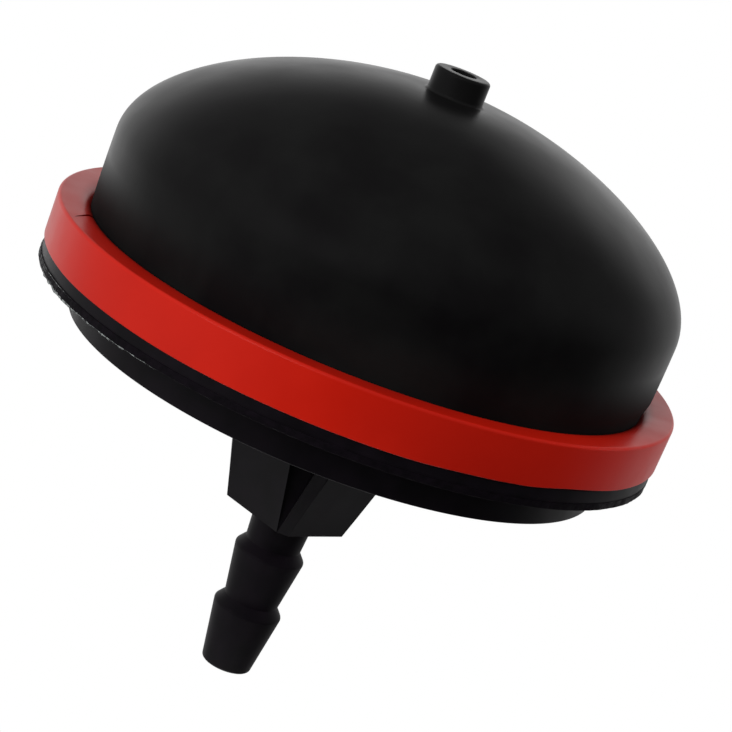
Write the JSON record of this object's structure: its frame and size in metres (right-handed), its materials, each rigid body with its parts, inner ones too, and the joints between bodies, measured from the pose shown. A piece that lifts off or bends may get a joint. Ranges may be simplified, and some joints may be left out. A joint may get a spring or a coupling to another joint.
{
  "type": "primer bulb",
  "caption": "Squeeze bulb for priming a small engine: hollow rubber dome with a vent stub, plastic clamp ring, and a moulded base with wrench flats and a barbed hose spigot.",
  "frame": {"origin": "on the axis, in the plane of the rim's underside, where the base seats on the panel that carries it", "axes": "+Z along the axis, from the hose spigot to the crown of the dome; -Y is the side that faces the viewer in the picture"},
  "size_m": [0.057, 0.057, 0.0577],
  "materials": {
    "black_rubber": "smooth moulded rubber, satin sheen",
    "red_plastic": "moulded red plastic, semi-gloss, a small crack in the top face",
    "black_plastic": "moulded black plastic, satin, with a rough lip under the rim"
  },
  "bodies": {
    "root": {"rubber_bulb": "black_rubber", "clamp_ring": "red_plastic", "base_body": "black_plastic"}
  },
  "joints": []
}
